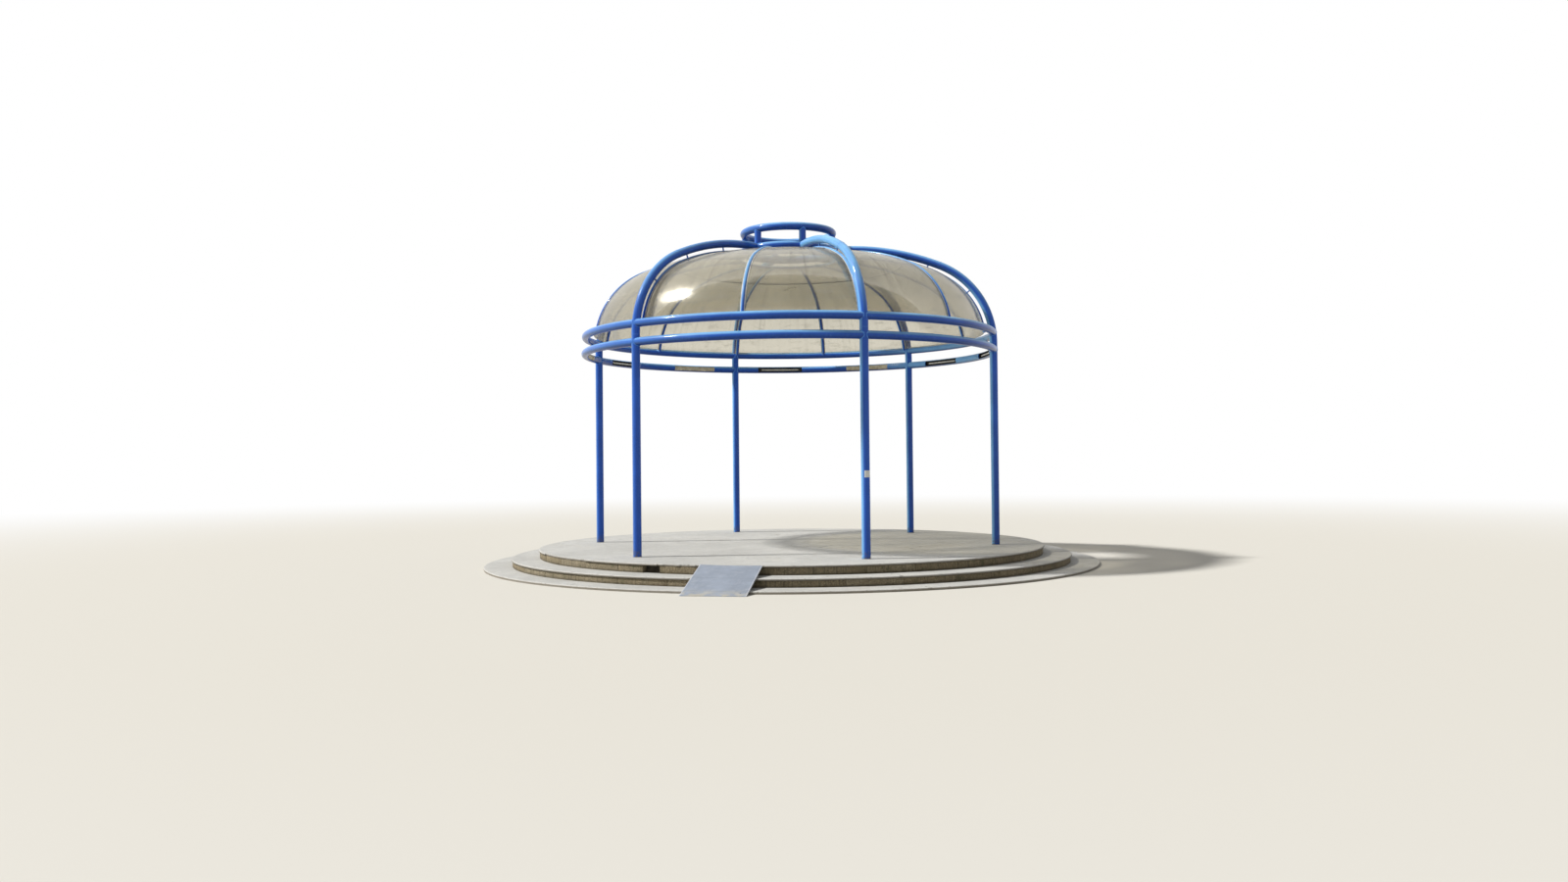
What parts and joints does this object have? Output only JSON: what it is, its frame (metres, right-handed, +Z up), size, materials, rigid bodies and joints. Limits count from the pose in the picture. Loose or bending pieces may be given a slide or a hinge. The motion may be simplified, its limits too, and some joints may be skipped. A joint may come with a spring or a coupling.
{
  "type": "bandstand",
  "caption": "Round open bandstand: stepped platform with a ramp, tubular posts and ring beams, bent ribs over a curved glazed dome, and an open ring crown.",
  "frame": {"origin": "on the ground under the middle of the round platform", "axes": "+Z up, -Y towards the ramp at the front, +X to the right as seen from the front"},
  "size_m": [12.122, 12.4268, 6.7173],
  "materials": {
    "slab_concrete": "weathered trowelled concrete",
    "core_concrete": "rough exposed aggregate",
    "riser_blocks": "rough exposed aggregate blocks",
    "ramp_paint": "dull grey-blue paint, scuffed",
    "blue_paint": "gloss blue paint",
    "tinted_panel": "bronze tint, dusty",
    "tray_paint": "black",
    "lamp_glass": "white coated tube",
    "cover_plastic": "yellowed translucent sheet"
  },
  "bodies": {
    "root": {"platform_core": "core_concrete", "deck_slab": "slab_concrete", "deck_riser": "riser_blocks", "middle_slab": "slab_concrete", "bottom_slab": "slab_concrete", "access_ramp": "ramp_paint", "post_front_left": "blue_paint", "post_front_right": "blue_paint", "post_right": "blue_paint", "post_back_right": "blue_paint", "post_back_left": "blue_paint", "post_left": "blue_paint", "rib_front_left": "blue_paint", "rib_front_right": "blue_paint", "rib_right": "blue_paint", "rib_back_right": "blue_paint", "rib_back_left": "blue_paint", "rib_left": "blue_paint", "lower_beam_front": "blue_paint", "lower_beam_front_right": "blue_paint", "lower_beam_back_right": "blue_paint", "lower_beam_back": "blue_paint", "lower_beam_back_left": "blue_paint", "lower_beam_front_left": "blue_paint", "upper_beam_front": "blue_paint", "upper_beam_front_right": "blue_paint", "upper_beam_back_right": "blue_paint", "upper_beam_back": "blue_paint", "upper_beam_back_left": "blue_paint", "upper_beam_front_left": "blue_paint", "crown_base_ring": "blue_paint", "crown_top_ring": "blue_paint", "crown_posts": "blue_paint", "oculus_hoop": "blue_paint", "glazing_bars": "blue_paint", "glazing_stubs": "blue_paint", "dome_panels_front": "tinted_panel", "dome_panels_front_right": "tinted_panel", "dome_panels_back_right": "tinted_panel", "dome_panels_back": "tinted_panel", "dome_panels_back_left": "tinted_panel", "dome_panels_front_left": "tinted_panel", "lamp_trays": "tray_paint", "lamp_tubes": "lamp_glass", "lamp_covers": "cover_plastic"}
  },
  "joints": []
}
